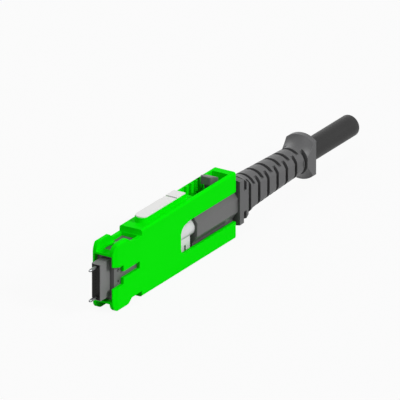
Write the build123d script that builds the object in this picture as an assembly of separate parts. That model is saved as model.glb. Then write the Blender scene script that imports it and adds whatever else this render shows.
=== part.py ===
from build123d import *
import os

# A fibre test cable: a slim push-pull plug for a multi-fibre ferrule, its pull boot and a cable.
# Millimetres. The origin is the centre of the ferrule's end face.
# +X runs back along the plug to the cable, +Z is the key side, -Y is the side nearest the viewer.

os.makedirs("parts", exist_ok=True)

# Clearances
running_gap = 0.05        # between pieces that slide on each other
seat_gap = 0.02           # between pieces that are pushed or snapped together
overrun = 1.0             # how far a cutting shape runs past the surface that it opens

# Outer housing
housing_front = 2.05
housing_length = 37.45
housing_width = 4.3
housing_height = 11.8
side_wall = 0.55
long_edge_round = 0.4
front_edge_round = 1.8
nose_taper = 1.15         # how far back the sides draw in to the front end
nose_taper_depth = 0.25
mouth_height = 8.0
mouth_lead = 0.2

# Notches across the narrow sides, just behind the front lip
notch_start = 6.2
notch_floor_start = 7.6
notch_end = 10.6
notch_depth = 1.0

# Trough through the front lip and the stepped opening in its floor, on both narrow sides
trough_half = 1.3
trough_floor = 4.35
opening_front = 3.9
opening_neck_half = 0.95
opening_wide_start = 7.5
opening_wide_half = 1.5
opening_rear = 10.3

# Pads of the inner housing that show in that opening
pad_rise = 0.3
front_pad_end = 5.5
rear_pad_start = 6.7
pad_groove_depth = 0.5

# Side opening at the mouth and the slot behind it
mouth_relief_half = 1.7
mouth_relief_flare = 0.5
mouth_relief_end = 5.0
mouth_flat = 1.0          # straight length behind the flare
side_slot_half = 0.6
side_slot_end = 9.9

# Side window, open to the rear
window_front = 22.6
window_arc_end = 26.4
window_top = 2.4
window_bottom = -2.9
window_corner = 1.2

# Key ridge on the upper side
ridge_start = 12.8
ridge_end = 25.9
ridge_half = 1.1
ridge_top = 6.75
key_channel_half = 0.6
key_channel_floor = 5.3
key_start = 13.0
key_step = 21.25
key_end = 22.9
key_thickness = 0.2
key_step_drop = 0.1
key_block_start = 23.1
key_block_end = 25.6

# Finger pocket behind the ridge: a shelf, then an open well with a row of grip teeth on its far rail
pocket_near = 1.6
pocket_far = 1.4
pocket_step = 28.7
pocket_end_wall = 1.5     # what is left of the housing behind the pocket
pocket_floor = 5.14
tooth_count = 5
tooth_pitch = 1.55
tooth_thickness = 0.45
teeth_start = 28.83
teeth_foot = 3.3

# Ferrule
ferrule_height = 6.4
ferrule_width = 1.7
ferrule_nose = 5.3
ferrule_length = 8.0
shoulder_height = 6.9
shoulder_width = 2.2
ferrule_face_bevel = 0.12
pin_pitch = 5.3
pin_radius = 0.275
pin_reach = 2.0
pin_tip = 0.35
pin_relief = 0.01

# Keeper, springs and rubber sleeve behind the ferrule
keeper_thickness = 1.4
keeper_stub = 1.2
sleeve_height = 3.9
sleeve_width = 1.2
sleeve_start = 6.4
ribbon_height = 3.3
ribbon_thickness = 0.32
ribbon_start = 4.4
ribbon_roll_end = 18.0
bundle_radius = 0.55
spring_wire = 0.28
spring_radius = 0.66
spring_turns = 8
ferrule_travel = 0.8

# Inner housing
inner_front = 3.0
inner_end = 22.0
inner_wall = 0.3
dimple_radius = 0.3
dimple_offset = 1.0
dimple_depth = 0.15

# Crimp body, ring and cable
push_front = 19.0
push_thickness = 1.5
latch_rise = 0.3
neck_radius = 1.55
neck_setback = 7.4        # from the end of the round neck to the front of the boot
block_gap = 0.8           # between the lower block and the carrier
block_top = -1.0
snap_slot_setback = 1.8   # from the slot to the end of the lower block
snap_slot_width = 0.5
snap_slot_top = -2.3
barrel_radius = 1.2
barrel_length = 7.0
barrel_bore = 0.75
barb_count = 5
barb_depth = 0.08
barb_groove_share = 0.4   # of the barbs' pitch
ring_gap = 0.4            # between the neck and the ring
ring_length = 11.5
cable_radius = 1.9
jacket_wall = 0.5
yarn_wall = 0.42
cable_length = 33.7

# Carrier that slides in the housing and holds the boot
carrier_length = 12.6
carrier_centre = -0.3
carrier_side = 2.0
carrier_flat_half = 1.2
carrier_shoulder_half = 2.55
carrier_waist = 1.0
carrier_half_height = 3.45
carrier_bore = 1.65
spigot_length = 3.0
spigot_radius = 2.05
catch_setback = 4.5       # from the head's front to the end of the finger pocket
catch_length = 2.4
catch_neck = 1.3          # how far the head hangs forward over the neck
catch_head_floor = 5.3
catch_bevel = 0.15
catch_half = 1.0
catch_top = 6.7
catch_rear_top = 6.0
pull_travel = 1.2

# Pull boot: a flange, a tapering ribbed neck and a flared rear end
boot_gap = 0.9            # between the housing's rear end and the boot's flange
boot_side = 2.4
boot_front_crest = 4.1
boot_stations = [
    (0.0, 3.85, boot_front_crest),
    (1.3, 3.8, 4.05),
    (3.2, 2.4, 3.45),
    (4.6, 1.75, 3.2),
    (10.2, 1.3, 2.95),
    (20.6, 0.8, 2.52),
]
slot_count = 7
slot_pitch = 2.88
slot_width = 0.8
first_slot_offset = 3.1
side_slot_depth = 1.45
top_groove_depth = 1.85
boot_neck_length = 19.8
flare_length = 2.7
rim_length = 1.0
flare_neck_radius = 2.52
flare_radius = 3.95
flare_side = 2.6

# Places that follow from the sizes
housing_rear = housing_front + housing_length
pocket_end = housing_rear - pocket_end_wall
catch_start = pocket_end - catch_setback
boot_front = housing_rear + boot_gap
carrier_front = boot_front - carrier_length
carrier_spigot_end = boot_front + spigot_length
block_end = carrier_front - block_gap
snap_slot_start = block_end - snap_slot_setback
neck_end = boot_front - neck_setback
barrel_end = neck_end + barrel_length
ring_start = neck_end + ring_gap
first_slot = boot_front + first_slot_offset
flare_start = boot_front + boot_neck_length
flare_rim_start = flare_start + flare_length
boot_rear = flare_rim_start + rim_length
ring_end = ring_start + ring_length
cable_start = ring_end + 2 * running_gap
cable_end = cable_start + cable_length
spring_offset = shoulder_height / 2 - spring_radius - spring_wire / 2
half_width = housing_width / 2
half_height = housing_height / 2
mouth_half = mouth_height / 2
cavity_half = half_width - side_wall


def block(x0, x1, y0, y1, z0, z1):
    """A box between any two opposite corners."""
    return Pos((x0 + x1) / 2, (y0 + y1) / 2, (z0 + z1) / 2) * Box(abs(x1 - x0), abs(y1 - y0), abs(z1 - z0))


def rod(radius, x0, x1, y=0, z=0):
    """A round bar along X."""
    return Pos((x0 + x1) / 2, y, z) * Rot(0, 90, 0) * Cylinder(radius, x1 - x0)


def side_prism(points, half):
    """A shape drawn in the X-Z plane and thickened evenly to both sides of Y = 0."""
    outline = make_face(Plane.XZ * Polyline(*points, close=True))
    return extrude(outline, amount=half, both=True)


def plan_prism(points, z0, z1):
    """A shape drawn in plan, standing from z0 to z1."""
    return Pos(0, 0, z0) * extrude(make_face(Polyline(*points, close=True)), amount=z1 - z0, dir=(0, 0, 1))


def section_prism(points, x0, x1):
    """A cross-section drawn in Y-Z, drawn out from x0 to x1."""
    face = make_face(Plane.YZ * Polyline(*points, close=True))
    return Pos(x0, 0, 0) * extrude(face, amount=x1 - x0, dir=(1, 0, 0))


def both_sides(points):
    """Closes a half outline of (x, y) points by mirroring it across Y = 0."""
    return list(points) + [(x, -y) for x, y in reversed(points)]


def notch(side):
    """The cut across one narrow side: a slope, a flat floor and a square rear wall."""
    floor = side * (half_height - notch_depth)
    outside = side * (half_height + overrun)
    top = side * half_height
    points = [(notch_start, top), (notch_floor_start, floor), (notch_end, floor),
              (notch_end, outside), (notch_start, outside)]
    return side_prism(points, housing_width)


def front_opening(side):
    """The trough through the front lip and the stepped opening that shows the inner housing."""
    floor = side * trough_floor
    outside = side * (half_height + overrun)
    cut = block(0, opening_wide_start, -trough_half, trough_half, floor, outside)
    cut += block(opening_front, opening_rear, -opening_neck_half, opening_neck_half,
                 side * (mouth_half - 0.5), outside)
    return cut + block(opening_wide_start, opening_rear, -opening_wide_half, opening_wide_half,
                       side * (mouth_half - 0.5), outside)


def mouth_relief():
    """The wide side opening at the mouth, flared on its key side, and the slot behind it."""
    far = half_width + overrun
    points = [(0, -mouth_relief_half), (0, mouth_relief_half + mouth_relief_flare),
              (housing_front, mouth_relief_half + mouth_relief_flare),
              (mouth_relief_end - mouth_flat, mouth_relief_half), (mouth_relief_end, mouth_relief_half),
              (mouth_relief_end, -mouth_relief_half)]
    return side_prism(points, far) + block(0, side_slot_end, -far, far, -side_slot_half, side_slot_half)


def window():
    """The side window, with a long arc at its upper front corner."""
    right = housing_rear + overrun
    low_arc = window_corner * 0.3
    with BuildSketch(Plane.XZ) as sketch:
        with BuildLine():
            Line((right, window_bottom), (window_front + window_corner, window_bottom))
            ThreePointArc((window_front + window_corner, window_bottom),
                          (window_front + low_arc, window_bottom + low_arc),
                          (window_front, window_bottom + window_corner))
            Line((window_front, window_bottom + window_corner), (window_front, window_top / 3))
            TangentArc((window_front, window_top / 3), (window_arc_end, window_top), tangent=(0, 1))
            Line((window_arc_end, window_top), (right, window_top))
            Line((right, window_top), (right, window_bottom))
        make_face()
    return extrude(sketch.sketch, amount=housing_width, both=True)


def ridge():
    """The raised rail that carries the key, with a half-round front end."""
    body = block(ridge_start + ridge_half, ridge_end, -ridge_half, ridge_half, half_height - 0.5, ridge_top)
    nose = Pos(ridge_start + ridge_half, 0, (half_height - 0.5 + ridge_top) / 2)
    return body + nose * Cylinder(ridge_half, ridge_top - half_height + 0.5)


def finger_pocket():
    """The shelf and the well of the finger pocket, and the gaps between the grip teeth."""
    top = ridge_top + overrun
    cut = block(ridge_end, pocket_step, -pocket_near, pocket_far, pocket_floor, top)
    cut += block(pocket_step, pocket_end, -pocket_near, pocket_far, mouth_half - 0.5, top)
    gap = tooth_pitch - tooth_thickness
    for i in range(tooth_count):
        x0 = teeth_start + i * tooth_pitch
        cut += block(x0, x0 + gap, 0, half_width + overrun, teeth_foot, top)
    return cut


def housing_block():
    """The plain outside of the housing: a rounded, drawn-in front and softened long edges."""
    whole = block(housing_front, housing_rear, -half_width, half_width, -half_height, half_height)
    rounded = fillet(whole.edges().filter_by(Axis.X), long_edge_round)
    front = whole.edges().filter_by(Axis.Y).group_by(Axis.X)[0]
    rounded = rounded & fillet(front, front_edge_round)
    plan = both_sides([(housing_front, half_width - nose_taper_depth),
                       (housing_front + nose_taper, half_width), (housing_rear, half_width)])
    return rounded & plan_prism(plan, -half_height, half_height)


def outer_housing():
    shell = housing_block()
    shell += ridge()
    shell -= notch(1) + notch(-1)
    shell -= block(0, housing_rear + overrun, -cavity_half, cavity_half, -mouth_half, mouth_half)
    lead = both_sides([(housing_front - mouth_lead, cavity_half + 2 * mouth_lead),
                       (housing_front + mouth_lead, cavity_half), (inner_front, cavity_half)])
    shell -= plan_prism(lead, -mouth_half, mouth_half)
    shell -= mouth_relief()
    for side in (1, -1):
        shell -= front_opening(side)
    shell -= window()
    shell -= finger_pocket()
    key_rear = key_block_end + seat_gap
    shell -= block(key_start + ridge_half, key_rear, -key_channel_half, key_channel_half,
                   key_channel_floor, ridge_top + overrun)
    return shell


def key_piece(x0, x1, top, stem_start):
    """A cap on the ridge with a stem in the ridge's channel."""
    cap = block(x0, x1, -ridge_half, ridge_half, ridge_top, top)
    stem_half = key_channel_half - seat_gap
    return cap + block(stem_start, x1, -stem_half, stem_half, key_channel_floor + seat_gap, ridge_top)


def polarity_key():
    top = ridge_top + key_thickness
    start = key_start + ridge_half
    key = key_piece(start, key_end, top, start + seat_gap)
    nose = Pos(start, 0, ridge_top + key_thickness / 2) * Cylinder(ridge_half, key_thickness)
    step = block(key_step, key_end, -ridge_half, ridge_half, top - key_step_drop, top + overrun)
    return key + nose - step


def key_block():
    return key_piece(key_block_start, key_block_end, ridge_top + key_thickness, key_block_start)


def front_pads(body, half_z):
    """Adds the raised pads that fill the stepped openings, with a groove between them."""
    gap = running_gap
    neck = opening_neck_half - gap
    wide = opening_wide_half - gap
    for side in (1, -1):
        top = side * (half_z + pad_rise)
        root = side * (half_z - 0.2)
        body += block(opening_front + gap, opening_rear - gap, -neck, neck, root, top)
        body += block(opening_wide_start + gap, opening_rear - gap, -wide, wide, root, top)
        body -= block(front_pad_end, rear_pad_start, -neck, neck, side * (half_z - pad_groove_depth), top)
    return body


def inner_housing():
    """The dark inner body: a narrow mouth for the ferrule, then a chamber for keeper and springs."""
    half_y = cavity_half - seat_gap
    half_z = mouth_half - seat_gap
    body = block(inner_front, inner_end, -half_y, half_y, -half_z, half_z)
    body = chamfer(body.edges().filter_by(Axis.X), inner_wall / 2)
    body = front_pads(body, half_z)
    nose_y = ferrule_width / 2 + running_gap
    nose_z = ferrule_height / 2 + running_gap
    body -= block(0, ferrule_nose + overrun, -nose_y, nose_y, -nose_z, nose_z)
    room_y = shoulder_width / 2 + running_gap
    room_z = shoulder_height / 2 + running_gap
    body -= block(ferrule_nose - seat_gap, inner_end + overrun, -room_y, room_y, -room_z, room_z)
    for side in (1, -1):
        latch = block(push_front - seat_gap, push_front + push_thickness + seat_gap,
                      -room_y * 0.6, room_y * 0.6, side * room_z, side * (half_z + overrun))
        body -= latch
        for z in (dimple_offset, -dimple_offset):
            spot = Pos((inner_front + ferrule_nose) / 2, side * half_y, z)
            body -= spot * Rot(90, 0, 0) * Cylinder(dimple_radius, 2 * dimple_depth)
    return body


def ferrule():
    nose = block(0, ferrule_nose + 0.5, -ferrule_width / 2, ferrule_width / 2,
                 -ferrule_height / 2, ferrule_height / 2)
    nose = chamfer(nose.faces().sort_by(Axis.X)[0].edges(), ferrule_face_bevel)
    shoulder = block(ferrule_nose, ferrule_length, -shoulder_width / 2, shoulder_width / 2,
                     -shoulder_height / 2, shoulder_height / 2)
    body = nose + shoulder
    for z in (pin_pitch / 2, -pin_pitch / 2):
        body -= rod(pin_radius + seat_gap / 2, -1, ferrule_length + overrun, z=z)
    body -= block(sleeve_start - seat_gap, ferrule_length + overrun, -sleeve_width / 2 - seat_gap,
                  sleeve_width / 2 + seat_gap, -sleeve_height / 2 - seat_gap, sleeve_height / 2 + seat_gap)
    body -= block(ribbon_start - seat_gap, ferrule_length, -ribbon_thickness / 2 - seat_gap,
                  ribbon_thickness / 2 + seat_gap, -ribbon_height / 2 - seat_gap,
                  ribbon_height / 2 + seat_gap)
    return body


def guide_pin(z):
    """A steel pin: a tapered tip, a ground free length and a slightly thinner held length."""
    free = rod(pin_radius, -pin_reach, 0, z=z)
    free = chamfer(free.faces().sort_by(Axis.X)[0].edges(), pin_tip, pin_radius * 0.5)
    return free + rod(pin_radius - pin_relief, 0, ferrule_length + keeper_thickness, z=z)


def keeper():
    """The plate that holds the pins, with two stubs that centre the springs."""
    x0 = ferrule_length
    x1 = x0 + keeper_thickness
    plate = block(x0, x1, -shoulder_width / 2, shoulder_width / 2, -shoulder_height / 2, shoulder_height / 2)
    plate -= block(x0 - overrun, x1 + overrun, -sleeve_width / 2 - seat_gap, sleeve_width / 2 + seat_gap,
                   -sleeve_height / 2 - seat_gap, sleeve_height / 2 + seat_gap)
    for side in (1, -1):
        plate -= rod(pin_radius + seat_gap / 2, x0 - overrun, x1, z=side * pin_pitch / 2)
        stub = spring_radius - spring_wire / 2 - running_gap
        plate += rod(stub, x1, x1 + keeper_stub, z=side * spring_offset)
    return plate


def ferrule_sleeve():
    x1 = ferrule_length + keeper_thickness
    body = block(sleeve_start, x1, -sleeve_width / 2, sleeve_width / 2,
                 -sleeve_height / 2, sleeve_height / 2)
    body = fillet(body.edges().filter_by(Axis.X), sleeve_width * 0.4)
    gap = seat_gap
    return body - block(0, x1 + overrun, -ribbon_thickness / 2 - gap, ribbon_thickness / 2 + gap,
                        -ribbon_height / 2 - gap, ribbon_height / 2 + gap)


def fibre_ribbon():
    """The flat ribbon behind the ferrule, rolled into a round bundle before the crimp."""
    flat_end = ferrule_length + keeper_thickness
    flat = block(ribbon_start, flat_end, -ribbon_thickness / 2, ribbon_thickness / 2,
                 -ribbon_height / 2, ribbon_height / 2)
    start = Plane((flat_end, 0, 0), x_dir=(0, 1, 0), z_dir=(1, 0, 0))
    end = Plane((ribbon_roll_end, 0, 0), x_dir=(0, 1, 0), z_dir=(1, 0, 0))
    square = bundle_radius * 1.6
    roll = loft([start * Rectangle(ribbon_thickness, ribbon_height), end * Rectangle(square, square)])
    slack = ferrule_travel + running_gap
    return flat + roll + rod(bundle_radius, ribbon_roll_end, cable_start - slack)


def spring(side):
    x0 = ferrule_length + keeper_thickness + spring_wire / 2 + seat_gap
    length = push_front - seat_gap - spring_wire / 2 - x0
    path = Helix(length / spring_turns, length, spring_radius)
    start = Plane(path @ 0, z_dir=path % 0)
    wire = sweep(start * RegularPolygon(spring_wire / 2, 6), path=path)
    return Pos(x0, 0, side * spring_offset) * Rot(0, 90, 0) * wire


def crimp_body():
    """The light rear piece: it closes the inner housing, backs the springs and carries the crimp."""
    x0 = push_front
    x1 = x0 + push_thickness
    half_y = shoulder_width / 2
    half_z = shoulder_height / 2
    body = block(x0, x1, -half_y, half_y, -half_z, half_z)
    body += block(x0 + seat_gap, x1 - seat_gap, -half_y * 0.55, half_y * 0.55,
                  -half_z - latch_rise, half_z + latch_rise)
    neck_start = inner_end + running_gap
    body += block(x1, neck_start, -half_y, half_y, -neck_radius, neck_radius)
    body += rod(neck_radius, neck_start, neck_end)
    body += block(x1, block_end, -half_y, half_y, -half_z, block_top)
    body -= block(snap_slot_start, snap_slot_start + snap_slot_width, -half_y - overrun, half_y + overrun,
                  -half_z - overrun, snap_slot_top)
    body += rod(barrel_radius, neck_end, barrel_end)
    pitch = (barrel_end - neck_end) / (barb_count + 1)
    for i in range(barb_count):
        x = neck_end + pitch * (i + 0.8)
        groove_end = x + pitch * barb_groove_share
        body -= rod(barrel_radius + overrun, x, groove_end) - rod(barrel_radius - barb_depth, x, groove_end)
    for side in (1, -1):
        stub = spring_radius - spring_wire / 2 - running_gap
        body += rod(stub, x0 - keeper_stub, x0, z=side * spring_offset)
    return body - rod(barrel_bore, x0 - keeper_stub - overrun, barrel_end + overrun)


def crimp_ring():
    bore = rod(barrel_radius + seat_gap, ring_start - overrun, ring_end + overrun)
    return rod(neck_radius, ring_start, ring_end) - bore


def cable_jacket():
    bore = rod(cable_radius - jacket_wall, cable_start - overrun, cable_end + overrun)
    return rod(cable_radius, cable_start, cable_end) - bore


def aramid_yarn():
    outside = cable_radius - jacket_wall - seat_gap
    inside = outside - yarn_wall
    return rod(outside, cable_start, cable_end) - rod(inside, cable_start - overrun, cable_end + overrun)


def fibre_core():
    radius = cable_radius - jacket_wall - yarn_wall - 2 * seat_gap
    return rod(radius, cable_start, cable_end)


def boot_carrier():
    """The sliding carrier: faceted sides that show in the windows and a spigot inside the boot."""
    c = carrier_centre
    half = [(carrier_half_height, carrier_waist), (carrier_shoulder_half, carrier_waist),
            (carrier_flat_half, carrier_side), (-carrier_flat_half, carrier_side),
            (-carrier_shoulder_half, carrier_waist), (-carrier_half_height, carrier_waist)]
    points = [(y, c + z) for z, y in half] + [(-y, c + z) for z, y in reversed(half)]
    body = section_prism(points, carrier_front, boot_front)
    body += rod(spigot_radius, boot_front, carrier_spigot_end)
    return body - rod(carrier_bore, carrier_front - overrun, carrier_spigot_end + overrun)


def catch_block():
    """The hook that stands up from the carrier into the finger pocket, its head hanging forward."""
    foot = carrier_centre + carrier_half_height
    x1 = catch_start + catch_length
    neck = catch_start + catch_neck
    points = [(neck, foot), (x1, foot), (x1, catch_rear_top), (catch_start + 0.5, catch_top),
              (catch_start, catch_top), (catch_start, catch_head_floor), (neck, catch_head_floor)]
    hook = side_prism(points, catch_half)
    return chamfer(hook.faces().sort_by(Axis.X)[0].edges().filter_by(Axis.Z), catch_bevel)


def boot_section(x, corner, crest):
    """Flat sides and arched top and bottom, at one place along the boot."""
    with BuildSketch(Plane((x, 0, 0), x_dir=(0, 1, 0), z_dir=(1, 0, 0))) as sketch:
        with BuildLine():
            Line((boot_side, -corner), (boot_side, corner))
            ThreePointArc((boot_side, corner), (0, crest), (-boot_side, corner))
            Line((-boot_side, corner), (-boot_side, -corner))
            ThreePointArc((-boot_side, -corner), (0, -crest), (boot_side, -corner))
        make_face()
    return sketch.sketch


def flare():
    """The trumpet-shaped rear end, with flat sides and a short rim."""
    with BuildSketch(Plane.XZ) as sketch:
        with BuildLine():
            Line((flare_start, 0), (flare_start, flare_neck_radius))
            TangentArc((flare_start, flare_neck_radius), (flare_rim_start, flare_radius), tangent=(1, 0.05))
            Line((flare_rim_start, flare_radius), (boot_rear, flare_radius))
            Line((boot_rear, flare_radius), (boot_rear, 0))
            Line((boot_rear, 0), (flare_start, 0))
        make_face()
    cone = revolve(sketch.sketch, Axis.X)
    sides = block(flare_start - overrun, boot_rear + overrun, -flare_side, flare_side,
                  -flare_radius, flare_radius)
    return cone & sides


def pull_boot():
    sections = [boot_section(boot_front + x, corner, crest) for x, corner, crest in boot_stations]
    body = loft(sections, ruled=True)
    body += flare()
    far = boot_front_crest + overrun
    for i in range(slot_count):
        x = first_slot + i * slot_pitch
        for side in (1, -1):
            body -= block(x - slot_width / 2, x + slot_width / 2,
                          side * side_slot_depth, side * far, -far, far)
    for i in range(slot_count):
        x = first_slot + (i - 0.5) * slot_pitch
        for side in (1, -1):
            body -= block(x - slot_width / 2, x + slot_width / 2, -far, far,
                          side * top_groove_depth, side * far)
    body -= rod(spigot_radius + seat_gap, boot_front - overrun, carrier_spigot_end + seat_gap)
    body -= rod(cable_radius + running_gap, carrier_spigot_end, boot_rear + overrun)
    return body


nodes = {
    "outer_housing": outer_housing(),
    "inner_housing": inner_housing(),
    "polarity_key": polarity_key(),
    "key_block": key_block(),
    "ferrule": ferrule(),
    "guide_pin_upper": guide_pin(pin_pitch / 2),
    "guide_pin_lower": guide_pin(-pin_pitch / 2),
    "pin_keeper": keeper(),
    "ferrule_sleeve": ferrule_sleeve(),
    "fibre_ribbon": fibre_ribbon(),
    "spring_upper": spring(1),
    "spring_lower": spring(-1),
    "crimp_body": crimp_body(),
    "crimp_ring": crimp_ring(),
    "boot_carrier": boot_carrier(),
    "catch_block": catch_block(),
    "pull_boot": pull_boot(),
    "cable_jacket": cable_jacket(),
    "aramid_yarn": aramid_yarn(),
    "fibre_core": fibre_core(),
}

for name, solid in nodes.items():
    export_step(solid, "parts/" + name + ".step")
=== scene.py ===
import math

import bmesh
import bpy
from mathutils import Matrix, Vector


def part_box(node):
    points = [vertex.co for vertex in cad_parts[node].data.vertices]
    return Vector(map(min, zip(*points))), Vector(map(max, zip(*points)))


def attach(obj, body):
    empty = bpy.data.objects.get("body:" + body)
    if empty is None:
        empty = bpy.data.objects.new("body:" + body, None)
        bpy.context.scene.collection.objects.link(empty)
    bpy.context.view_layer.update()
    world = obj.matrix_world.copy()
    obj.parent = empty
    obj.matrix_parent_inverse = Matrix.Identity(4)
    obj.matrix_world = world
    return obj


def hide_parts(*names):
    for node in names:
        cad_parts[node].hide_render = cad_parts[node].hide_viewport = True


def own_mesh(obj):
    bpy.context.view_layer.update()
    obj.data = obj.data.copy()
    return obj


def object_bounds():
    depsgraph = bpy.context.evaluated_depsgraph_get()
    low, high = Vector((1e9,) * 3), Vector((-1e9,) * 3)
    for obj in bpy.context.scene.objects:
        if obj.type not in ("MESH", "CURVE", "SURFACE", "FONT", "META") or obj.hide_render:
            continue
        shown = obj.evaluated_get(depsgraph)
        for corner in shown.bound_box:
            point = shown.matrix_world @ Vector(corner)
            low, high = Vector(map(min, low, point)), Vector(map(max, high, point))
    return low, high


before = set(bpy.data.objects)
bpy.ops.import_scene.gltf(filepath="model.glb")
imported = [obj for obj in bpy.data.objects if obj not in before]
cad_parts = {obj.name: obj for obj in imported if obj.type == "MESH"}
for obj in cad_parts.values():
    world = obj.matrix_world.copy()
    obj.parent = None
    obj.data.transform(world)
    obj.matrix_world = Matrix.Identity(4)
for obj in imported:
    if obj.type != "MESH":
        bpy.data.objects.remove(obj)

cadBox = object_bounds()  # the plug and cable as they came, before anything is dressed
mm = 0.001


# Node wiring, for shaders and for geometry trees

class Wire:
    # one socket of a node tree, with plain arithmetic on it
    def __init__(self, tree, socket=None):
        self.tree = tree
        self.socket = socket

    def node(self, kind, settings=None, sockets=None, out=0):
        made = self.tree.nodes.new(kind)
        for key, value in (settings or {}).items():
            if key == "stops":
                self.fillRamp(made.color_ramp, value)
            else:
                setattr(made, key, value)
        for key, value in (sockets or {}).items():
            if isinstance(value, Wire):
                self.tree.links.new(value.socket, made.inputs[key])
            else:
                made.inputs[key].default_value = value
        return Wire(self.tree, made.outputs[out] if made.outputs else None)

    def sibling(self, out):
        return Wire(self.tree, self.socket.node.outputs[out])

    def fillRamp(self, ramp, stops):
        # a stop is a place and a colour, and a plain number stands for a grey
        while len(ramp.elements) < len(stops):
            ramp.elements.new(0.5)
        for element, (place, colour) in zip(ramp.elements, stops):
            element.position = place
            element.color = (colour if isinstance(colour, tuple) else (colour,) * 3) + (1,)

    def maths(self, operation, first, second=0.0):
        return self.node("ShaderNodeMath", {"operation": operation}, {0: first, 1: second})

    def __add__(self, other): return self.maths("ADD", self, other)
    def __radd__(self, other): return self.maths("ADD", other, self)
    def __sub__(self, other): return self.maths("SUBTRACT", self, other)
    def __rsub__(self, other): return self.maths("SUBTRACT", other, self)
    def __mul__(self, other): return self.maths("MULTIPLY", self, other)
    def __rmul__(self, other): return self.maths("MULTIPLY", other, self)
    def __truediv__(self, other): return self.maths("DIVIDE", self, other)
    def __gt__(self, other): return self.maths("GREATER_THAN", self, other)
    def __lt__(self, other): return self.maths("LESS_THAN", self, other)
    def __abs__(self): return self.maths("ABSOLUTE", self)
    def squared(self): return self.maths("MULTIPLY", self, self)
    def root(self): return self.maths("SQRT", self)
    def frac(self): return self.maths("FRACT", self)
    def floor(self): return self.maths("FLOOR", self)
    def cos(self): return self.maths("COSINE", self)
    def sin(self): return self.maths("SINE", self)
    def atan(self, other): return self.maths("ARCTAN2", self, other)
    def limit(self): return self.node("ShaderNodeClamp", None, {"Value": self})


def startMaterial(name):
    material = bpy.data.materials.new(name)
    material.use_nodes = True
    material.node_tree.nodes.clear()
    return material, Wire(material.node_tree)


def objectPlace(desk):
    return desk.node("ShaderNodeTexCoord", out=3)


def splitAxes(desk, place):
    x = desk.node("ShaderNodeSeparateXYZ", None, {0: place})
    return x, x.sibling(1), x.sibling(2)


def noise(desk, place, size, detail=2.0, rough=0.5):
    return desk.node("ShaderNodeTexNoise", None,
                     {"Vector": place, "Scale": 1 / size, "Detail": detail, "Roughness": rough})


def stretch(desk, place, scale):
    return desk.node("ShaderNodeMapping", None, {"Vector": place, "Scale": scale})


def mixColour(desk, amount, first, second):
    return desk.node("ShaderNodeMix", {"data_type": "RGBA"}, {0: amount, 6: first, 7: second},
                     out=2)


def tinted(colour, factor=1.0):
    return tuple(min(1.0, channel * factor) for channel in colour) + (1,)


def toneMix(desk, amount, colour, darkest, brightest):
    return mixColour(desk, amount, tinted(colour, darkest), tinted(colour, brightest))


def around(wave, middle, spread):
    return middle + (wave - 0.5) * spread


def softEdges(desk, radius):
    return desk.node("ShaderNodeBevel", {"samples": 4}, {"Radius": radius})


def bumped(desk, height, strength, distance, rounded=None, inwards=False):
    sockets = {"Strength": strength, "Distance": distance, "Height": height}
    if rounded is not None:
        sockets["Normal"] = rounded
    return desk.node("ShaderNodeBump", {"invert": inwards}, sockets)


def finishOff(desk, sockets):
    shader = desk.node("ShaderNodeBsdfPrincipled", None, sockets)
    desk.node("ShaderNodeOutputMaterial", None, {"Surface": shader})


# Moulded plastic and rubber

moulding = {"toneDetail": 3.0, "grainDetail": 2.0, "grainRough": 0.6, "wornPolish": 0.08,
            "bumpShare": 0.2, "coatRough": 0.2}


def edgeWearAndHighlight(desk, rounded, sharpness):
    # where the softened normal leaves the true one, an edge runs; the mask lightens every edge,
    # partly as wear and partly as a painted highlight
    trueNormal = desk.node("ShaderNodeNewGeometry", out=1)
    along = desk.node("ShaderNodeVectorMath", {"operation": "DOT_PRODUCT"},
                      {0: rounded, 1: trueNormal}, out=1)
    return ((1 - along) * sharpness).limit()


def mouldedPlastic(name, look, marks=None):
    # spark-eroded grain, slow tone changes, polished edges painted lighter as wear and as a
    # painted highlight, and an optional relief of its own
    material, desk = startMaterial(name)
    place = objectPlace(desk)
    slow = noise(desk, place, look["toneSize"], moulding["toneDetail"])
    grain = noise(desk, place, look["grainSize"], moulding["grainDetail"], moulding["grainRough"])
    rounded = softEdges(desk, look["edge"])
    wornAndLit = edgeWearAndHighlight(desk, rounded, look["wearAndHighlightSharpness"])
    plain = toneMix(desk, slow, look["colour"], 1 - look["toneSpread"], 1 + look["toneSpread"])
    # edges painted lighter: wear and a painted highlight along every edge
    colour = mixColour(desk, wornAndLit * look["wearAndHighlight"], plain, tinted(look["wearAndHighlightColour"]))
    rough = around(grain, look["rough"], look["roughSpread"]) - wornAndLit * moulding["wornPolish"]
    relief = grain * look["grainDepth"]
    if marks:
        relief = relief + marks(*splitAxes(desk, place))
    normal = bumped(desk, relief, 1.0, look["grainSize"] * moulding["bumpShare"], rounded)
    finishOff(desk, {"Base Color": colour, "Roughness": rough, "Normal": normal,
                     "Specular IOR Level": look["shine"], "Coat Weight": look.get("coat", 0.0),
                     "Coat Roughness": moulding["coatRough"]})
    return material


mouldMarks = {"lineHalf": 0.03 * mm, "lineHeight": 0.8, "ejectorAt": (17.0 * mm, 31.0 * mm),
              "ejectorRadius": 1.1 * mm, "ejectorRing": 0.05 * mm, "ejectorDepth": 1.2,
              "underside": -5.8 * mm}


def housingMarks(x, y, z):
    # the parting line round the mid-plane and two ejector marks on the underside
    relief = (abs(y) < mouldMarks["lineHalf"]) * mouldMarks["lineHeight"]
    under = z < mouldMarks["underside"]
    for centre in mouldMarks["ejectorAt"]:
        away = ((x - centre).squared() + y.squared()).root()
        ring = abs(away - mouldMarks["ejectorRadius"]) < mouldMarks["ejectorRing"]
        relief = relief - ring * under * mouldMarks["ejectorDepth"]
    return relief


# Metal

turning = {"detail": 3.0, "lineRough": 0.6, "darkest": 0.88, "brightest": 1.1, "bump": 0.15,
           "bumpShare": 0.2, "roughSpread": 0.14}


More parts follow.
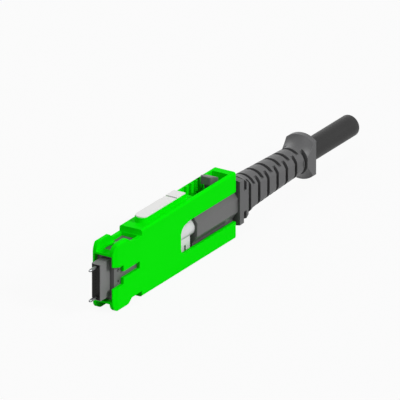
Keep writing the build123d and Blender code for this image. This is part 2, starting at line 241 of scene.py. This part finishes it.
def turnedMetal(name, look):
    # ground or drawn metal, with fine lines along or round the piece
    material, desk = startMaterial(name)
    stretched = stretch(desk, objectPlace(desk), look["stretch"])
    lines = noise(desk, stretched, look["lineSize"], turning["detail"], turning["lineRough"])
    colour = toneMix(desk, lines, look["colour"], turning["darkest"], turning["brightest"])
    normal = bumped(desk, lines, turning["bump"], look["lineSize"] * turning["bumpShare"],
                    softEdges(desk, look["edge"]))
    finishOff(desk, {"Base Color": colour, "Normal": normal, "Metallic": 1.0,
                     "Roughness": around(lines, look["rough"], turning["roughSpread"])})
    return material


# Ferrule

# face is the end face's colour, near black as painted shade for the face turned from the light
resin = {"side": (0.165, 0.165, 0.166), "face": (0.003, 0.003, 0.003), "faceDepth": 0.02 * mm,
         "glass": (0.3, 0.3, 0.31), "speck": 0.05 * mm, "speckDetail": 1.0, "speckRough": 0.8,
         "speckFrom": 0.62, "speckFull": 0.75, "speckAmount": 0.3,
         "polish": 0.08 * mm, "polishStretch": (1, 6, 1), "edge": 0.04 * mm,
         "bump": 0.15, "bumpHeight": 0.01 * mm,
         "rough": 0.5, "faceGloss": 0.18, "polishSpread": 0.1, "shine": 0.2}


def ferruleResin():
    # glass-filled resin: matt grey sides with pale specks, and a polished end face painted near
    # black as painted shade for the face turned from the light
    material, desk = startMaterial("ferruleResin")
    place = objectPlace(desk)
    onFace = splitAxes(desk, place)[0] < resin["faceDepth"]
    specks = noise(desk, place, resin["speck"], resin["speckDetail"], resin["speckRough"])
    stops = [(0.0, 0.0), (resin["speckFrom"], 0.0), (resin["speckFull"], 1.0)]
    glass = desk.node("ShaderNodeValToRGB", {"stops": stops}, {"Fac": specks})
    side = mixColour(desk, glass * resin["speckAmount"], tinted(resin["side"]),
                     tinted(resin["glass"]))
    # the end face takes the near-black colour: painted shade, not a colour of the resin
    colour = mixColour(desk, onFace, side, tinted(resin["face"]))
    polish = noise(desk, stretch(desk, place, resin["polishStretch"]), resin["polish"])
    rough = around(polish, resin["rough"] - onFace * resin["faceGloss"], resin["polishSpread"])
    normal = bumped(desk, specks, resin["bump"], resin["bumpHeight"],
                    softEdges(desk, resin["edge"]))
    finishOff(desk, {"Base Color": colour, "Roughness": rough, "Normal": normal,
                     "Specular IOR Level": resin["shine"]})
    return material


fibreGlass = {"dull": (0.5, 0.55, 0.6), "bright": (0.75, 0.8, 0.85), "cloud": 0.05 * mm,
              "rough": 0.12, "roughSpread": 0.1, "coat": 0.5}


def polishedGlass():
    # the fibre ends in the ferrule's face
    material, desk = startMaterial("polishedGlass")
    cloud = noise(desk, objectPlace(desk), fibreGlass["cloud"], 1.0)
    colour = mixColour(desk, cloud, tinted(fibreGlass["dull"]), tinted(fibreGlass["bright"]))
    finishOff(desk, {"Base Color": colour, "Coat Weight": fibreGlass["coat"],
                     "Roughness": fibreGlass["rough"] + cloud * fibreGlass["roughSpread"]})
    return material


# Cable

jacketLook = {"colour": (0.022, 0.022, 0.022), "darkest": 0.88, "brightest": 1.14,
              "line": 0.22 * mm, "lineStretch": (0.03, 1, 1), "slow": 4 * mm,
              "bump": 0.2, "bumpHeight": 0.02 * mm, "rough": 0.5, "roughSpread": 0.14,
              "shine": 0.16}


def jacketSkin():
    # extruded jacket: faint die lines along the cable and a slow change of sheen
    material, desk = startMaterial("jacketSkin")
    place = objectPlace(desk)
    lines = noise(desk, stretch(desk, place, jacketLook["lineStretch"]), jacketLook["line"])
    slow = noise(desk, place, jacketLook["slow"])
    colour = toneMix(desk, slow, jacketLook["colour"], jacketLook["darkest"],
                     jacketLook["brightest"])
    finishOff(desk, {"Base Color": colour, "Specular IOR Level": jacketLook["shine"],
                     "Roughness": around(slow, jacketLook["rough"], jacketLook["roughSpread"]),
                     "Normal": bumped(desk, lines, jacketLook["bump"], jacketLook["bumpHeight"])})
    return material


yarnLook = {"shade": (0.42, 0.25, 0.04), "gold": (0.88, 0.66, 0.24), "strand": 0.06 * mm,
            "strandStretch": (0.1, 1, 1), "detail": 3.0, "strandRough": 0.7,
            "bump": 0.5, "bumpHeight": 0.03 * mm, "rough": 0.5, "roughSpread": 0.15}


def yarnFibres():
    # golden aramid, with its strands running along the cable
    material, desk = startMaterial("yarnFibres")
    stretched = stretch(desk, objectPlace(desk), yarnLook["strandStretch"])
    strands = noise(desk, stretched, yarnLook["strand"], yarnLook["detail"],
                    yarnLook["strandRough"])
    colour = mixColour(desk, strands, tinted(yarnLook["shade"]), tinted(yarnLook["gold"]))
    finishOff(desk, {"Base Color": colour,
                     "Roughness": yarnLook["rough"] + strands * yarnLook["roughSpread"],
                     "Normal": bumped(desk, strands, yarnLook["bump"], yarnLook["bumpHeight"])})
    return material


fibreColours = [(0.02, 0.1, 0.6), (0.8, 0.22, 0.01), (0.01, 0.3, 0.06), (0.16, 0.06, 0.02),
                (0.25, 0.27, 0.3), (0.8, 0.8, 0.8), (0.55, 0.01, 0.01), (0.02, 0.02, 0.02),
                (0.8, 0.55, 0.01), (0.2, 0.02, 0.35), (0.8, 0.25, 0.4), (0.02, 0.5, 0.5)]


def colourSteps(desk, position):
    # even steps through the fibre colours, for a position from 0 to 1
    count = len(fibreColours)
    stops = [(i / count, fibreColours[i]) for i in range(count)]
    ramp = desk.node("ShaderNodeValToRGB", {"stops": stops}, {"Fac": position})
    ramp.socket.node.color_ramp.interpolation = "CONSTANT"
    return ramp


bundleLook = {"innerRadius": 0.45 * mm, "innerShift": 0.37, "sheen": 0.3 * mm,
              "rough": 0.3, "roughSpread": 0.15}


def colouredFibres():
    # each fibre of the round bundle takes its colour from its sector
    material, desk = startMaterial("colouredFibres")
    place = objectPlace(desk)
    y, z = splitAxes(desk, place)[1:]
    inner = (y.squared() + z.squared()).root() < bundleLook["innerRadius"]
    turn = z.atan(y) / (2 * math.pi) + 0.5 + inner * bundleLook["innerShift"]
    sheen = noise(desk, place, bundleLook["sheen"])
    finishOff(desk, {"Base Color": colourSteps(desk, turn.frac()),
                     "Roughness": bundleLook["rough"] + sheen * bundleLook["roughSpread"]})
    return material


ribbonLook = {"height": 3.3 * mm, "fibres": 16, "bump": 0.5, "bumpHeight": 0.05 * mm,
              "rough": 0.25, "roughSpread": 0.2, "coat": 0.4}


def ribbonCoat():
    # sixteen coloured fibres side by side under a clear coat
    material, desk = startMaterial("ribbonCoat")
    z = splitAxes(desk, objectPlace(desk))[2]
    across = (z / ribbonLook["height"] + 0.5).limit() * ribbonLook["fibres"]
    crown = abs(across.frac() - 0.5)
    count = len(fibreColours)
    tone = (across.floor() / count + 0.5 / count).frac()
    normal = bumped(desk, crown, ribbonLook["bump"], ribbonLook["bumpHeight"], inwards=True)
    finishOff(desk, {"Base Color": colourSteps(desk, tone), "Normal": normal,
                     "Roughness": ribbonLook["rough"] + crown * ribbonLook["roughSpread"],
                     "Coat Weight": ribbonLook["coat"]})
    return material


# What each node wears

# each look's lighter edge colour stands for wear and for a painted highlight along the edges
greenLook = {"colour": (0.001, 0.73, 0.001), "toneSize": 9 * mm, "toneSpread": 0.02,
             "wearAndHighlightColour": (0.01, 0.86, 0.01), "wearAndHighlight": 0.7, "wearAndHighlightSharpness": 4.0,
             "grainSize": 0.12 * mm, "grainDepth": 0.14, "edge": 0.07 * mm,
             "rough": 0.45, "roughSpread": 0.12, "shine": 0.01}
darkLook = {"colour": (0.1, 0.1, 0.1), "toneSize": 6 * mm, "toneSpread": 0.05,
            "wearAndHighlightColour": (0.16, 0.16, 0.16), "wearAndHighlight": 0.6, "wearAndHighlightSharpness": 4.0,
            "grainSize": 0.1 * mm, "grainDepth": 0.2, "edge": 0.05 * mm,
            "rough": 0.42, "roughSpread": 0.14, "shine": 0.4}
lightLook = {"colour": (0.7, 0.7, 0.69), "toneSize": 6 * mm, "toneSpread": 0.02,
             "wearAndHighlightColour": (0.75, 0.75, 0.75), "wearAndHighlight": 0.5, "wearAndHighlightSharpness": 4.0,
             "grainSize": 0.12 * mm, "grainDepth": 0.1, "edge": 0.05 * mm,
             "rough": 0.45, "roughSpread": 0.1, "shine": 0.3}
bootLook = dict(darkLook, colour=(0.082, 0.082, 0.084), toneSize=5 * mm, grainSize=0.09 * mm,
                grainDepth=0.28, rough=0.5, edge=0.09 * mm)
crimpLook = dict(lightLook, colour=(0.62, 0.62, 0.63), toneSize=4 * mm, rough=0.25,
                 roughSpread=0.06, shine=0.6, coat=0.3)
sleeveLook = dict(darkLook, colour=(0.03, 0.03, 0.03), rough=0.6, grainSize=0.08 * mm)
tubeLook = dict(lightLook, colour=(0.62, 0.62, 0.58), grainSize=0.05 * mm, rough=0.35)
gelLook = dict(lightLook, colour=(0.32, 0.3, 0.24), grainSize=0.1 * mm, rough=0.25, shine=0.6)
pinLook = {"colour": (0.2, 0.205, 0.21), "stretch": (1, 12, 12), "lineSize": 0.3 * mm,
           "rough": 0.3, "edge": 0.03 * mm}
keeperLook = dict(pinLook, colour=(0.55, 0.55, 0.57), stretch=(1, 6, 1), rough=0.32)
springLook = dict(pinLook, stretch=(1, 1, 1), lineSize=0.1 * mm, edge=0.01 * mm)
ringLook = dict(pinLook, colour=(0.66, 0.66, 0.68), stretch=(12, 1, 1), rough=0.3)

skin = {
    "green": mouldedPlastic("greenShell", greenLook, housingMarks),
    "dark": mouldedPlastic("darkPlastic", darkLook),
    "boot": mouldedPlastic("bootRubber", bootLook),
    "light": mouldedPlastic("keyPlastic", lightLook),
    "crimp": mouldedPlastic("crimpShell", crimpLook),
    "sleeve": mouldedPlastic("softSleeve", sleeveLook),
    "tube": mouldedPlastic("bufferTube", tubeLook),
    "gel": mouldedPlastic("fillingGel", gelLook),
    "ribbon": ribbonCoat(),
    "fibres": colouredFibres(),
    "glass": polishedGlass(),
    "ferrule": ferruleResin(),
    "pin": turnedMetal("pinSteel", pinLook),
    "keeper": turnedMetal("keeperSteel", keeperLook),
    "spring": turnedMetal("springWire", springLook),
    "ring": turnedMetal("ringMetal", ringLook),
    "jacket": jacketSkin(),
    "yarn": yarnFibres(),
}

dressed = {
    "outer_housing": "green", "inner_housing": "dark", "polarity_key": "light",
    "key_block": "light", "ferrule": "ferrule", "guide_pin_upper": "pin",
    "guide_pin_lower": "pin", "pin_keeper": "keeper", "ferrule_sleeve": "sleeve",
    "fibre_ribbon": "ribbon", "spring_upper": "spring", "spring_lower": "spring",
    "crimp_body": "crimp", "crimp_ring": "ring", "boot_carrier": "dark",
    "catch_block": "dark", "pull_boot": "boot",
}

for nodeName, skinName in dressed.items():
    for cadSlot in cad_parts[nodeName].material_slots:
        cadSlot.material = skin[skinName]
print("materials on", len(dressed), "nodes")


# Meshes and objects

def plainMesh(name, vertices, faces):
    mesh = bpy.data.meshes.new(name)
    mesh.from_pydata(vertices, [], faces)
    return mesh


def closeMesh(mesh, crease=None):
    # turns the faces outwards, and smooths them where they fold by less than crease
    work = bmesh.new()
    work.from_mesh(mesh)
    bmesh.ops.recalc_face_normals(work, faces=work.faces)
    if crease is not None:
        for face in work.faces:
            face.smooth = True
        for edge in work.edges:
            edge.smooth = len(edge.link_faces) == 2 and edge.calc_face_angle(0) < crease
    work.to_mesh(mesh)
    work.free()
    return mesh


def putIn(name, data):
    thing = bpy.data.objects.new(name, data)
    bpy.context.collection.objects.link(thing)
    return thing


def painted(name, mesh, material):
    mesh.materials.clear()
    mesh.materials.append(material)
    return putIn(name, mesh)


# Turned pieces of the cable

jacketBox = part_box("cable_jacket")
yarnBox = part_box("aramid_yarn")
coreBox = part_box("fibre_core")
cable = {"start": jacketBox[0].x, "end": jacketBox[1].x, "radius": jacketBox[1].z,
         "yarnRadius": yarnBox[1].z, "coreRadius": coreBox[1].z, "gap": 0.02 * mm,
         "sides": 64, "steps": 24, "crease": 40.0, "cutRound": 0.06 * mm, "cutShare": 0.3,
         "yarnRecess": 0.45 * mm, "tubeWall": 0.12 * mm, "tubeRecess": 0.12 * mm}
gel = {"clear": 0.5, "recess": 0.5 * mm, "crown": 0.05 * mm, "centre": 0.01 * mm,
       "shoulderLift": 0.8, "shoulderAt": 0.5}


def turned(name, profile, material):
    # a closed (x, radius) profile turned about the X axis
    sides, rings = cable["sides"], len(profile)
    vertices, faces = [], []
    for x, radius in profile:
        for i in range(sides):
            turn = 2 * math.pi * i / sides
            vertices.append((x, radius * math.cos(turn), radius * math.sin(turn)))
    for ring in range(rings):
        here, after = ring * sides, (ring + 1) % rings * sides
        for i in range(sides):
            j = (i + 1) % sides
            faces.append((here + i, after + i, after + j, here + j))
    mesh = closeMesh(plainMesh(name, vertices, faces), math.radians(cable["crease"]))
    return painted(name, mesh, material)


def cableJacket():
    outer, inner = cable["radius"], cable["yarnRadius"] + cable["gap"]
    start, end, soft = cable["start"], cable["end"], cable["cutRound"]
    straight, corner = end - soft - start, soft * cable["cutShare"]
    profile = [(start + straight * i / cable["steps"], outer) for i in range(cable["steps"] + 1)]
    profile += [(end - corner, outer - corner), (end, outer - soft), (end, inner), (start, inner)]
    return turned("cableJacket", profile, skin["jacket"])


def hollowPiece(name, outer, inner, recess, material):
    # a plain tube inside the cable that stops a little short of the cut
    start, end = cable["start"], cable["end"] - recess
    return turned(name, [(start, outer), (end, outer), (end, inner), (start, inner)], material)


def fillingGel():
    outer = cable["coreRadius"] - cable["tubeWall"] - cable["gap"] * gel["clear"]
    start, end = cable["start"], cable["end"] - gel["recess"]
    profile = [(start, outer), (end, outer),
               (end + gel["crown"] * gel["shoulderLift"], outer * gel["shoulderAt"]),
               (end + gel["crown"], gel["centre"]), (start, gel["centre"])]
    return turned("fillingGel", profile, skin["gel"])


# Repeated pieces, each from a geometry tree of its own

def startTree(name, inputs):
    # a node group with a named input for each size, and a geometry output
    tree = bpy.data.node_groups.new(name, "GeometryNodeTree")
    tree.interface.new_socket("Geometry", in_out="INPUT", socket_type="NodeSocketGeometry")
    kinds = {float: "NodeSocketFloat", int: "NodeSocketInt"}
    for key, value in inputs.items():
        socket = tree.interface.new_socket(key, in_out="INPUT", socket_type=kinds[type(value)])
        socket.default_value = value
    tree.interface.new_socket("Geometry", in_out="OUTPUT", socket_type="NodeSocketGeometry")
    desk = Wire(tree)
    entry = desk.node("NodeGroupInput")
    sizes = {key: entry.sibling(key) for key in inputs}
    sizes["seedGeometry"] = entry
    return tree, desk, sizes


def endTree(desk, geometry, material):
    solid = desk.node("GeometryNodeRealizeInstances", None, {0: geometry})
    coated = desk.node("GeometryNodeSetMaterial", None, {"Geometry": solid, "Material": material})
    desk.node("NodeGroupOutput", None, {0: coated})


def grow(name, tree, inputs, material, seedMesh=None):
    # runs a tree on a seed mesh and keeps the result as a plain mesh
    seedPiece = putIn(name + "Seed", seedMesh or bpy.data.meshes.new(name + "Seed"))
    modifier = seedPiece.modifiers.new("grow", "NODES")
    modifier.node_group = tree
    for item in tree.interface.items_tree:
        if item.in_out == "INPUT" and item.name in inputs:
            modifier[item.identifier] = inputs[item.name]
    bpy.context.view_layer.update()
    depsgraph = bpy.context.evaluated_depsgraph_get()
    mesh = bpy.data.meshes.new_from_object(seedPiece.evaluated_get(depsgraph))
    mesh.name = name
    seedPiece.modifiers.remove(modifier)
    bpy.data.objects.remove(seedPiece)
    return painted(name, mesh, material)


def rowOf(desk, count, step, start):
    return desk.node("GeometryNodeMeshLine", None,
                     {"Count": count, "Start Location": start, "Offset": step})


def onPoints(desk, points, shape, scale=(1, 1, 1)):
    return desk.node("GeometryNodeInstanceOnPoints", None,
                     {"Points": points, "Instance": shape, "Scale": scale})


def vector(desk, **parts):
    return desk.node("ShaderNodeCombineXYZ", None, parts)


def ringOf(desk, count, radius):
    return desk.node("GeometryNodeMeshCircle", None, {"Vertices": count, "Radius": radius})


def facingX(desk, geometry, start):
    # what was drawn round the Z axis turned to face along X, and moved to start
    return desk.node("GeometryNodeTransform", None,
                     {"Geometry": geometry, "Translation": start, "Rotation": (0, math.pi / 2, 0)})


def rodAlongX(desk, radius, length, sides):
    # a capped rod that starts at x = 0 and runs towards +X
    rod = desk.node("GeometryNodeMeshCylinder", None,
                    {"Vertices": sides, "Radius": radius, "Depth": length})
    return facingX(desk, rod, vector(desk, X=length / 2))


def fibreEnds():
    # a row of polished fibre ends between the guide pins
    sizes = {"count": 16, "pitch": 0.25 * mm, "radius": 0.0625 * mm, "depth": 0.3 * mm,
             "sides": 16}
    tree, desk, size = startTree("fibreEnds", sizes)
    rowLength = (size["count"] - 1) * size["pitch"]
    row = rowOf(desk, size["count"], vector(desk, Z=size["pitch"]),
                vector(desk, Z=rowLength * -0.5))
    end = rodAlongX(desk, size["radius"], size["depth"], size["sides"])
    endTree(desk, onPoints(desk, row, end), skin["glass"])
    return grow("fibreEnds", tree, sizes, skin["glass"])


def fibreBundle():
    # two rings of coloured fibres inside the buffer tube
    sizes = {"outerCount": 11, "outerRing": 0.62 * mm, "innerCount": 5, "innerRing": 0.27 * mm,
             "radius": 0.125 * mm, "sides": 12, "length": cable["end"] - cable["start"],
             "start": cable["start"]}
    tree, desk, size = startTree("fibreBundle", sizes)
    outer = ringOf(desk, size["outerCount"], size["outerRing"])
    inner = ringOf(desk, size["innerCount"], size["innerRing"])
    both = desk.node("GeometryNodeJoinGeometry", None, {0: outer})
    desk.tree.links.new(inner.socket, both.socket.node.inputs[0])
    stood = facingX(desk, both, vector(desk, X=size["start"]))
    fibre = rodAlongX(desk, size["radius"], size["length"], size["sides"])
    endTree(desk, onPoints(desk, stood, fibre), skin["fibres"])
    return grow("fibreBundle", tree, sizes, skin["fibres"])


def yarnStrands():
    # cut strands of slightly different lengths that fill the ring between tube and jacket
    sizes = {"rings": 3, "perRing": 42, "inner": cable["coreRadius"] + 0.08 * mm,
             "outer": cable["yarnRadius"] - 0.07 * mm, "radius": 0.055 * mm, "sides": 8,
             "length": 1.6 * mm, "cut": cable["end"], "shortest": 0.74, "seed": 7,
             "ringShift": 0.33, "jitter": 0.4}
    tree, desk, size = startTree("yarnStrands", sizes)
    points = rowOf(desk, size["rings"] * size["perRing"], (0, 0, 0), (0, 0, 0))
    index = desk.node("GeometryNodeInputIndex")
    ring = (index / size["perRing"]).floor()
    shift = desk.node("FunctionNodeRandomValue", {"data_type": "FLOAT"},
                      {2: size["jitter"] * -1, 3: size["jitter"], "Seed": size["seed"]}, out=1)
    turn = (index + ring * size["ringShift"] + shift) * (2 * math.pi) / size["perRing"]
    away = size["inner"] + (size["outer"] - size["inner"]) * ring / (size["rings"] - 1)
    place = vector(desk, X=size["cut"] - size["length"], Y=away * turn.cos(), Z=away * turn.sin())
    spread = desk.node("GeometryNodeSetPosition", None, {"Geometry": points, "Position": place})
    strand = rodAlongX(desk, size["radius"], size["length"], size["sides"])
    share = desk.node("FunctionNodeRandomValue", {"data_type": "FLOAT"},
                      {2: size["shortest"], 3: 1.0, "Seed": size["seed"] + 1}, out=1)
    strands = onPoints(desk, spread, strand, vector(desk, X=share, Y=1.0, Z=1.0))
    endTree(desk, strands, skin["yarn"])
    return grow("yarnStrands", tree, sizes, skin["yarn"])


# Walls that the moulded shell has and the plain solid lacks

shellWall = {"outside": 2.15 * mm, "thickness": 0.55 * mm}
railWall = {"gaps": 5, "pitch": 1.55 * mm, "start": 28.83 * mm, "gap": 1.1 * mm,
            "foot": 3.3 * mm, "top": 5.9 * mm, "thickness": 0.3 * mm, "edgeRound": 0.4 * mm,
            "roundSteps": 8}
windowCorner = {"centre": (24.8368, 0.8), "radius": 2.2368, "arcSteps": 24,  # in mm
                "fromTurn": 180.0, "toTurn": 45.67,
                "line": [(25.17, 2.33), (23.95, 2.1), (23.45, 1.92), (23.05, 1.6), (22.75, 1.15)]}


def arc(centre, radius, fromTurn, toTurn, steps):
    turns = [fromTurn + (toTurn - fromTurn) * i / steps for i in range(steps + 1)]
    return [(centre[0] + radius * math.cos(turn), centre[1] + radius * math.sin(turn))
            for turn in turns]


def prismMesh(name, outline, low, high, place):
    # a closed outline drawn out from low to high, with place(a, b, depth) giving each corner
    count = len(outline)
    vertices = [place(a, b, depth) for depth in (low, high) for a, b in outline]
    faces = [tuple(range(count)), tuple(range(2 * count - 1, count - 1, -1))]
    for i in range(count):
        j = (i + 1) % count
        faces.append((i, count + i, count + j, j))
    return closeMesh(plainMesh(name, vertices, faces))


def railInfill():
    # the far rail stays closed behind the grip teeth
    outside, top, soft = shellWall["outside"], railWall["top"], railWall["edgeRound"]
    inside = outside - railWall["thickness"]
    reach = math.acos((inside - outside + soft) / soft)
    outline = [(inside, railWall["foot"]), (outside, railWall["foot"])]
    outline += arc((outside - soft, top - soft), soft, 0.0, reach, railWall["roundSteps"])
    block = prismMesh("railBlock", outline, 0.0, railWall["gap"], lambda y, z, x: (x, y, z))
    sizes = {key: railWall[key] for key in ("gaps", "pitch", "start")}
    tree, desk, size = startTree("railInfill", sizes)
    row = rowOf(desk, size["gaps"], vector(desk, X=size["pitch"]), vector(desk, X=size["start"]))
    endTree(desk, onPoints(desk, row, size["seedGeometry"]), skin["green"])
    return grow("railInfill", tree, sizes, skin["green"], block)


def windowInfill(name, side):
    # the wall under the long curve at the window's upper front corner
    bow = arc(windowCorner["centre"], windowCorner["radius"],
              math.radians(windowCorner["fromTurn"]), math.radians(windowCorner["toTurn"]),
              windowCorner["arcSteps"])
    outline = [(x * mm, z * mm) for x, z in bow + windowCorner["line"]]
    outside = side * shellWall["outside"]
    inside = side * (shellWall["outside"] - shellWall["thickness"])
    mesh = prismMesh(name, outline, outside, inside, lambda x, z, y: (x, y, z))
    return painted(name, mesh, skin["green"])


def cableRoute():
    # three listed points, and between them the points of a smooth curve through the cable
    corners = [(45.0 * mm, 0, 0), (62.0 * mm, 0, 0), (78.7 * mm, 0, 0)]
    curve = bpy.data.curves.new("cableRoute", "CURVE")
    curve.dimensions = "3D"
    spline = curve.splines.new("NURBS")
    spline.points.add(len(corners) - 1)
    for point, corner in zip(spline.points, corners):
        point.co = corner + (1,)
    spline.order_u = 3
    spline.use_endpoint_u = True
    holder = putIn("cableRoute", curve)
    line = bpy.data.meshes.new_from_object(holder)
    points = [tuple(vertex.co) for vertex in line.vertices]
    bpy.data.objects.remove(holder)
    bpy.data.meshes.remove(line)
    return points


def placeOn(piece, body, slotName, *nodes):
    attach(piece, body)
    if nodes:
        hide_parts(*nodes)
    return piece


jacket = placeOn(cableJacket(), "plug", "jacket", "cable_jacket")
yarnBed = hollowPiece("yarnBed", cable["yarnRadius"], cable["coreRadius"] + cable["gap"],
                      cable["yarnRecess"], skin["yarn"])
bufferTube = hollowPiece("bufferTube", cable["coreRadius"],
                         cable["coreRadius"] - cable["tubeWall"], cable["tubeRecess"],
                         skin["tube"])
cableInside = [placeOn(yarnBed, "plug", "yarn", "aramid_yarn"),
               placeOn(yarnStrands(), "plug", "yarn"),
               placeOn(bufferTube, "plug", "core_buffer", "fibre_core"),
               placeOn(fillingGel(), "plug", "core_buffer"),
               placeOn(fibreBundle(), "plug", "fibre_coating")]
route = cableRoute()
print("cable made, route of", len(route), "points")

placeOn(fibreEnds(), "ferrule_set", "fibre_coating")
print("ferrule face made")

infills = [railInfill(), windowInfill("windowInfillNear", -1), windowInfill("windowInfillFar", 1)]
for wallPiece in infills:
    placeOn(wallPiece, "plug", "green_shell")
print("shell walls closed")


# Each of the two springs gets a mesh of its own

for springName in ("spring_upper", "spring_lower"):
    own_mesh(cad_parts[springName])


# Camera, at the photograph's angle through a very long lens

camera = {"azimuth": -58.0, "elevation": 22.66, "pixelsPerMm": 6.1, "faceAt": (97.0, 281.4),
          "frame": 400, "lens": 1500.0, "sensor": 36.0, "axisPoint": 38.0,
          "clipStart": 0.5, "clipEnd": 20}


def makeCamera():
    turn, lift = math.radians(camera["azimuth"]), math.radians(camera["elevation"])
    right = Vector((math.cos(turn), math.sin(turn), 0))
    flat = math.cos(lift)
    back = Vector((math.sin(turn) * flat, -math.cos(turn) * flat, math.sin(lift)))
    up = back.cross(right)
    half = camera["frame"] / 2
    across = (half - camera["faceAt"][0]) / camera["pixelsPerMm"]
    above = (camera["faceAt"][1] - half) / camera["pixelsPerMm"]
    depth = back.dot(Vector((camera["axisPoint"], 0, 0)))
    distance = camera["frame"] / camera["pixelsPerMm"] * camera["lens"] / camera["sensor"]
    look = bpy.data.cameras.new("longLens")
    look.lens = camera["lens"]
    look.sensor_width = camera["sensor"]
    look.clip_start, look.clip_end = camera["clipStart"], camera["clipEnd"]
    eye = putIn("longLens", look)
    eye.rotation_mode = "QUATERNION"
    eye.rotation_quaternion = back.to_track_quat("Z", "Y")
    eye.location = (right * across + up * above + back * (depth + distance)) * mm
    bpy.context.scene.camera = eye


makeCamera()
print("camera placed")


# Floor, world and lamps

studio = {"floorSize": 3.0, "floorDrop": 0.02 * mm, "floorTone": 0.45, "floorLift": 0.93,
          "background": 1.0, "ambient": 0.34,
          "keyPower": 2.35, "keyFrom": (0.12, -0.76, 0.5), "keySize": 16,
          "fillPower": 0.7, "fillFrom": (0.5, 0.8, 0.45), "fillSize": 40,
          "frontPower": 0.85, "frontFrom": (-0.66, 0.0, 0.75), "frontSize": 30}


def cameraLikeRays(desk):
    rays = desk.node("ShaderNodeLightPath")
    straight, glossy, through = (rays.sibling("Is " + kind + " Ray")
                                 for kind in ("Camera", "Glossy", "Transmission"))
    return (straight + glossy + through).limit()


def makeFloor():
    low = cadBox[0].z - studio["floorDrop"]
    half = studio["floorSize"]
    corners = [(-half, -half, low), (half, -half, low), (half, half, low), (-half, half, low)]
    material, desk = startMaterial("paleFloor")
    tone = studio["floorTone"]
    plain = desk.node("ShaderNodeBsdfDiffuse", None, {"Color": (tone, tone, tone, 1)})
    glow = desk.node("ShaderNodeEmission", None, {"Color": (1, 1, 1, 1), "Strength": 1.0})
    lift = cameraLikeRays(desk) * studio["floorLift"]
    lifted = desk.node("ShaderNodeMixShader", None, {0: lift, 1: plain, 2: glow})
    desk.node("ShaderNodeOutputMaterial", None, {"Surface": lifted})
    painted("floor", plainMesh("floor", corners, [(0, 1, 2, 3)]), material)


def makeWorld():
    world = bpy.data.worlds.new("studio")
    bpy.context.scene.world = world
    world.use_nodes = True
    world.node_tree.nodes.clear()
    desk = Wire(world.node_tree)
    lift = studio["background"] - studio["ambient"]
    strength = studio["ambient"] + cameraLikeRays(desk) * lift
    sky = desk.node("ShaderNodeBackground", None, {"Color": (1, 1, 1, 1), "Strength": strength})
    desk.node("ShaderNodeOutputWorld", None, {"Surface": sky})


def makeLamp(name):
    lamp = bpy.data.lights.new(name, "SUN")
    lamp.energy = studio[name + "Power"]
    lamp.angle = math.radians(studio[name + "Size"])
    holder = putIn(name, lamp)
    holder.rotation_mode = "QUATERNION"
    holder.rotation_quaternion = Vector(studio[name + "From"]).to_track_quat("Z", "Y")


makeFloor()
makeWorld()
for lampName in ("key", "fill", "front"):
    makeLamp(lampName)
bpy.context.scene.view_settings.view_transform = "Standard"
print("studio set")
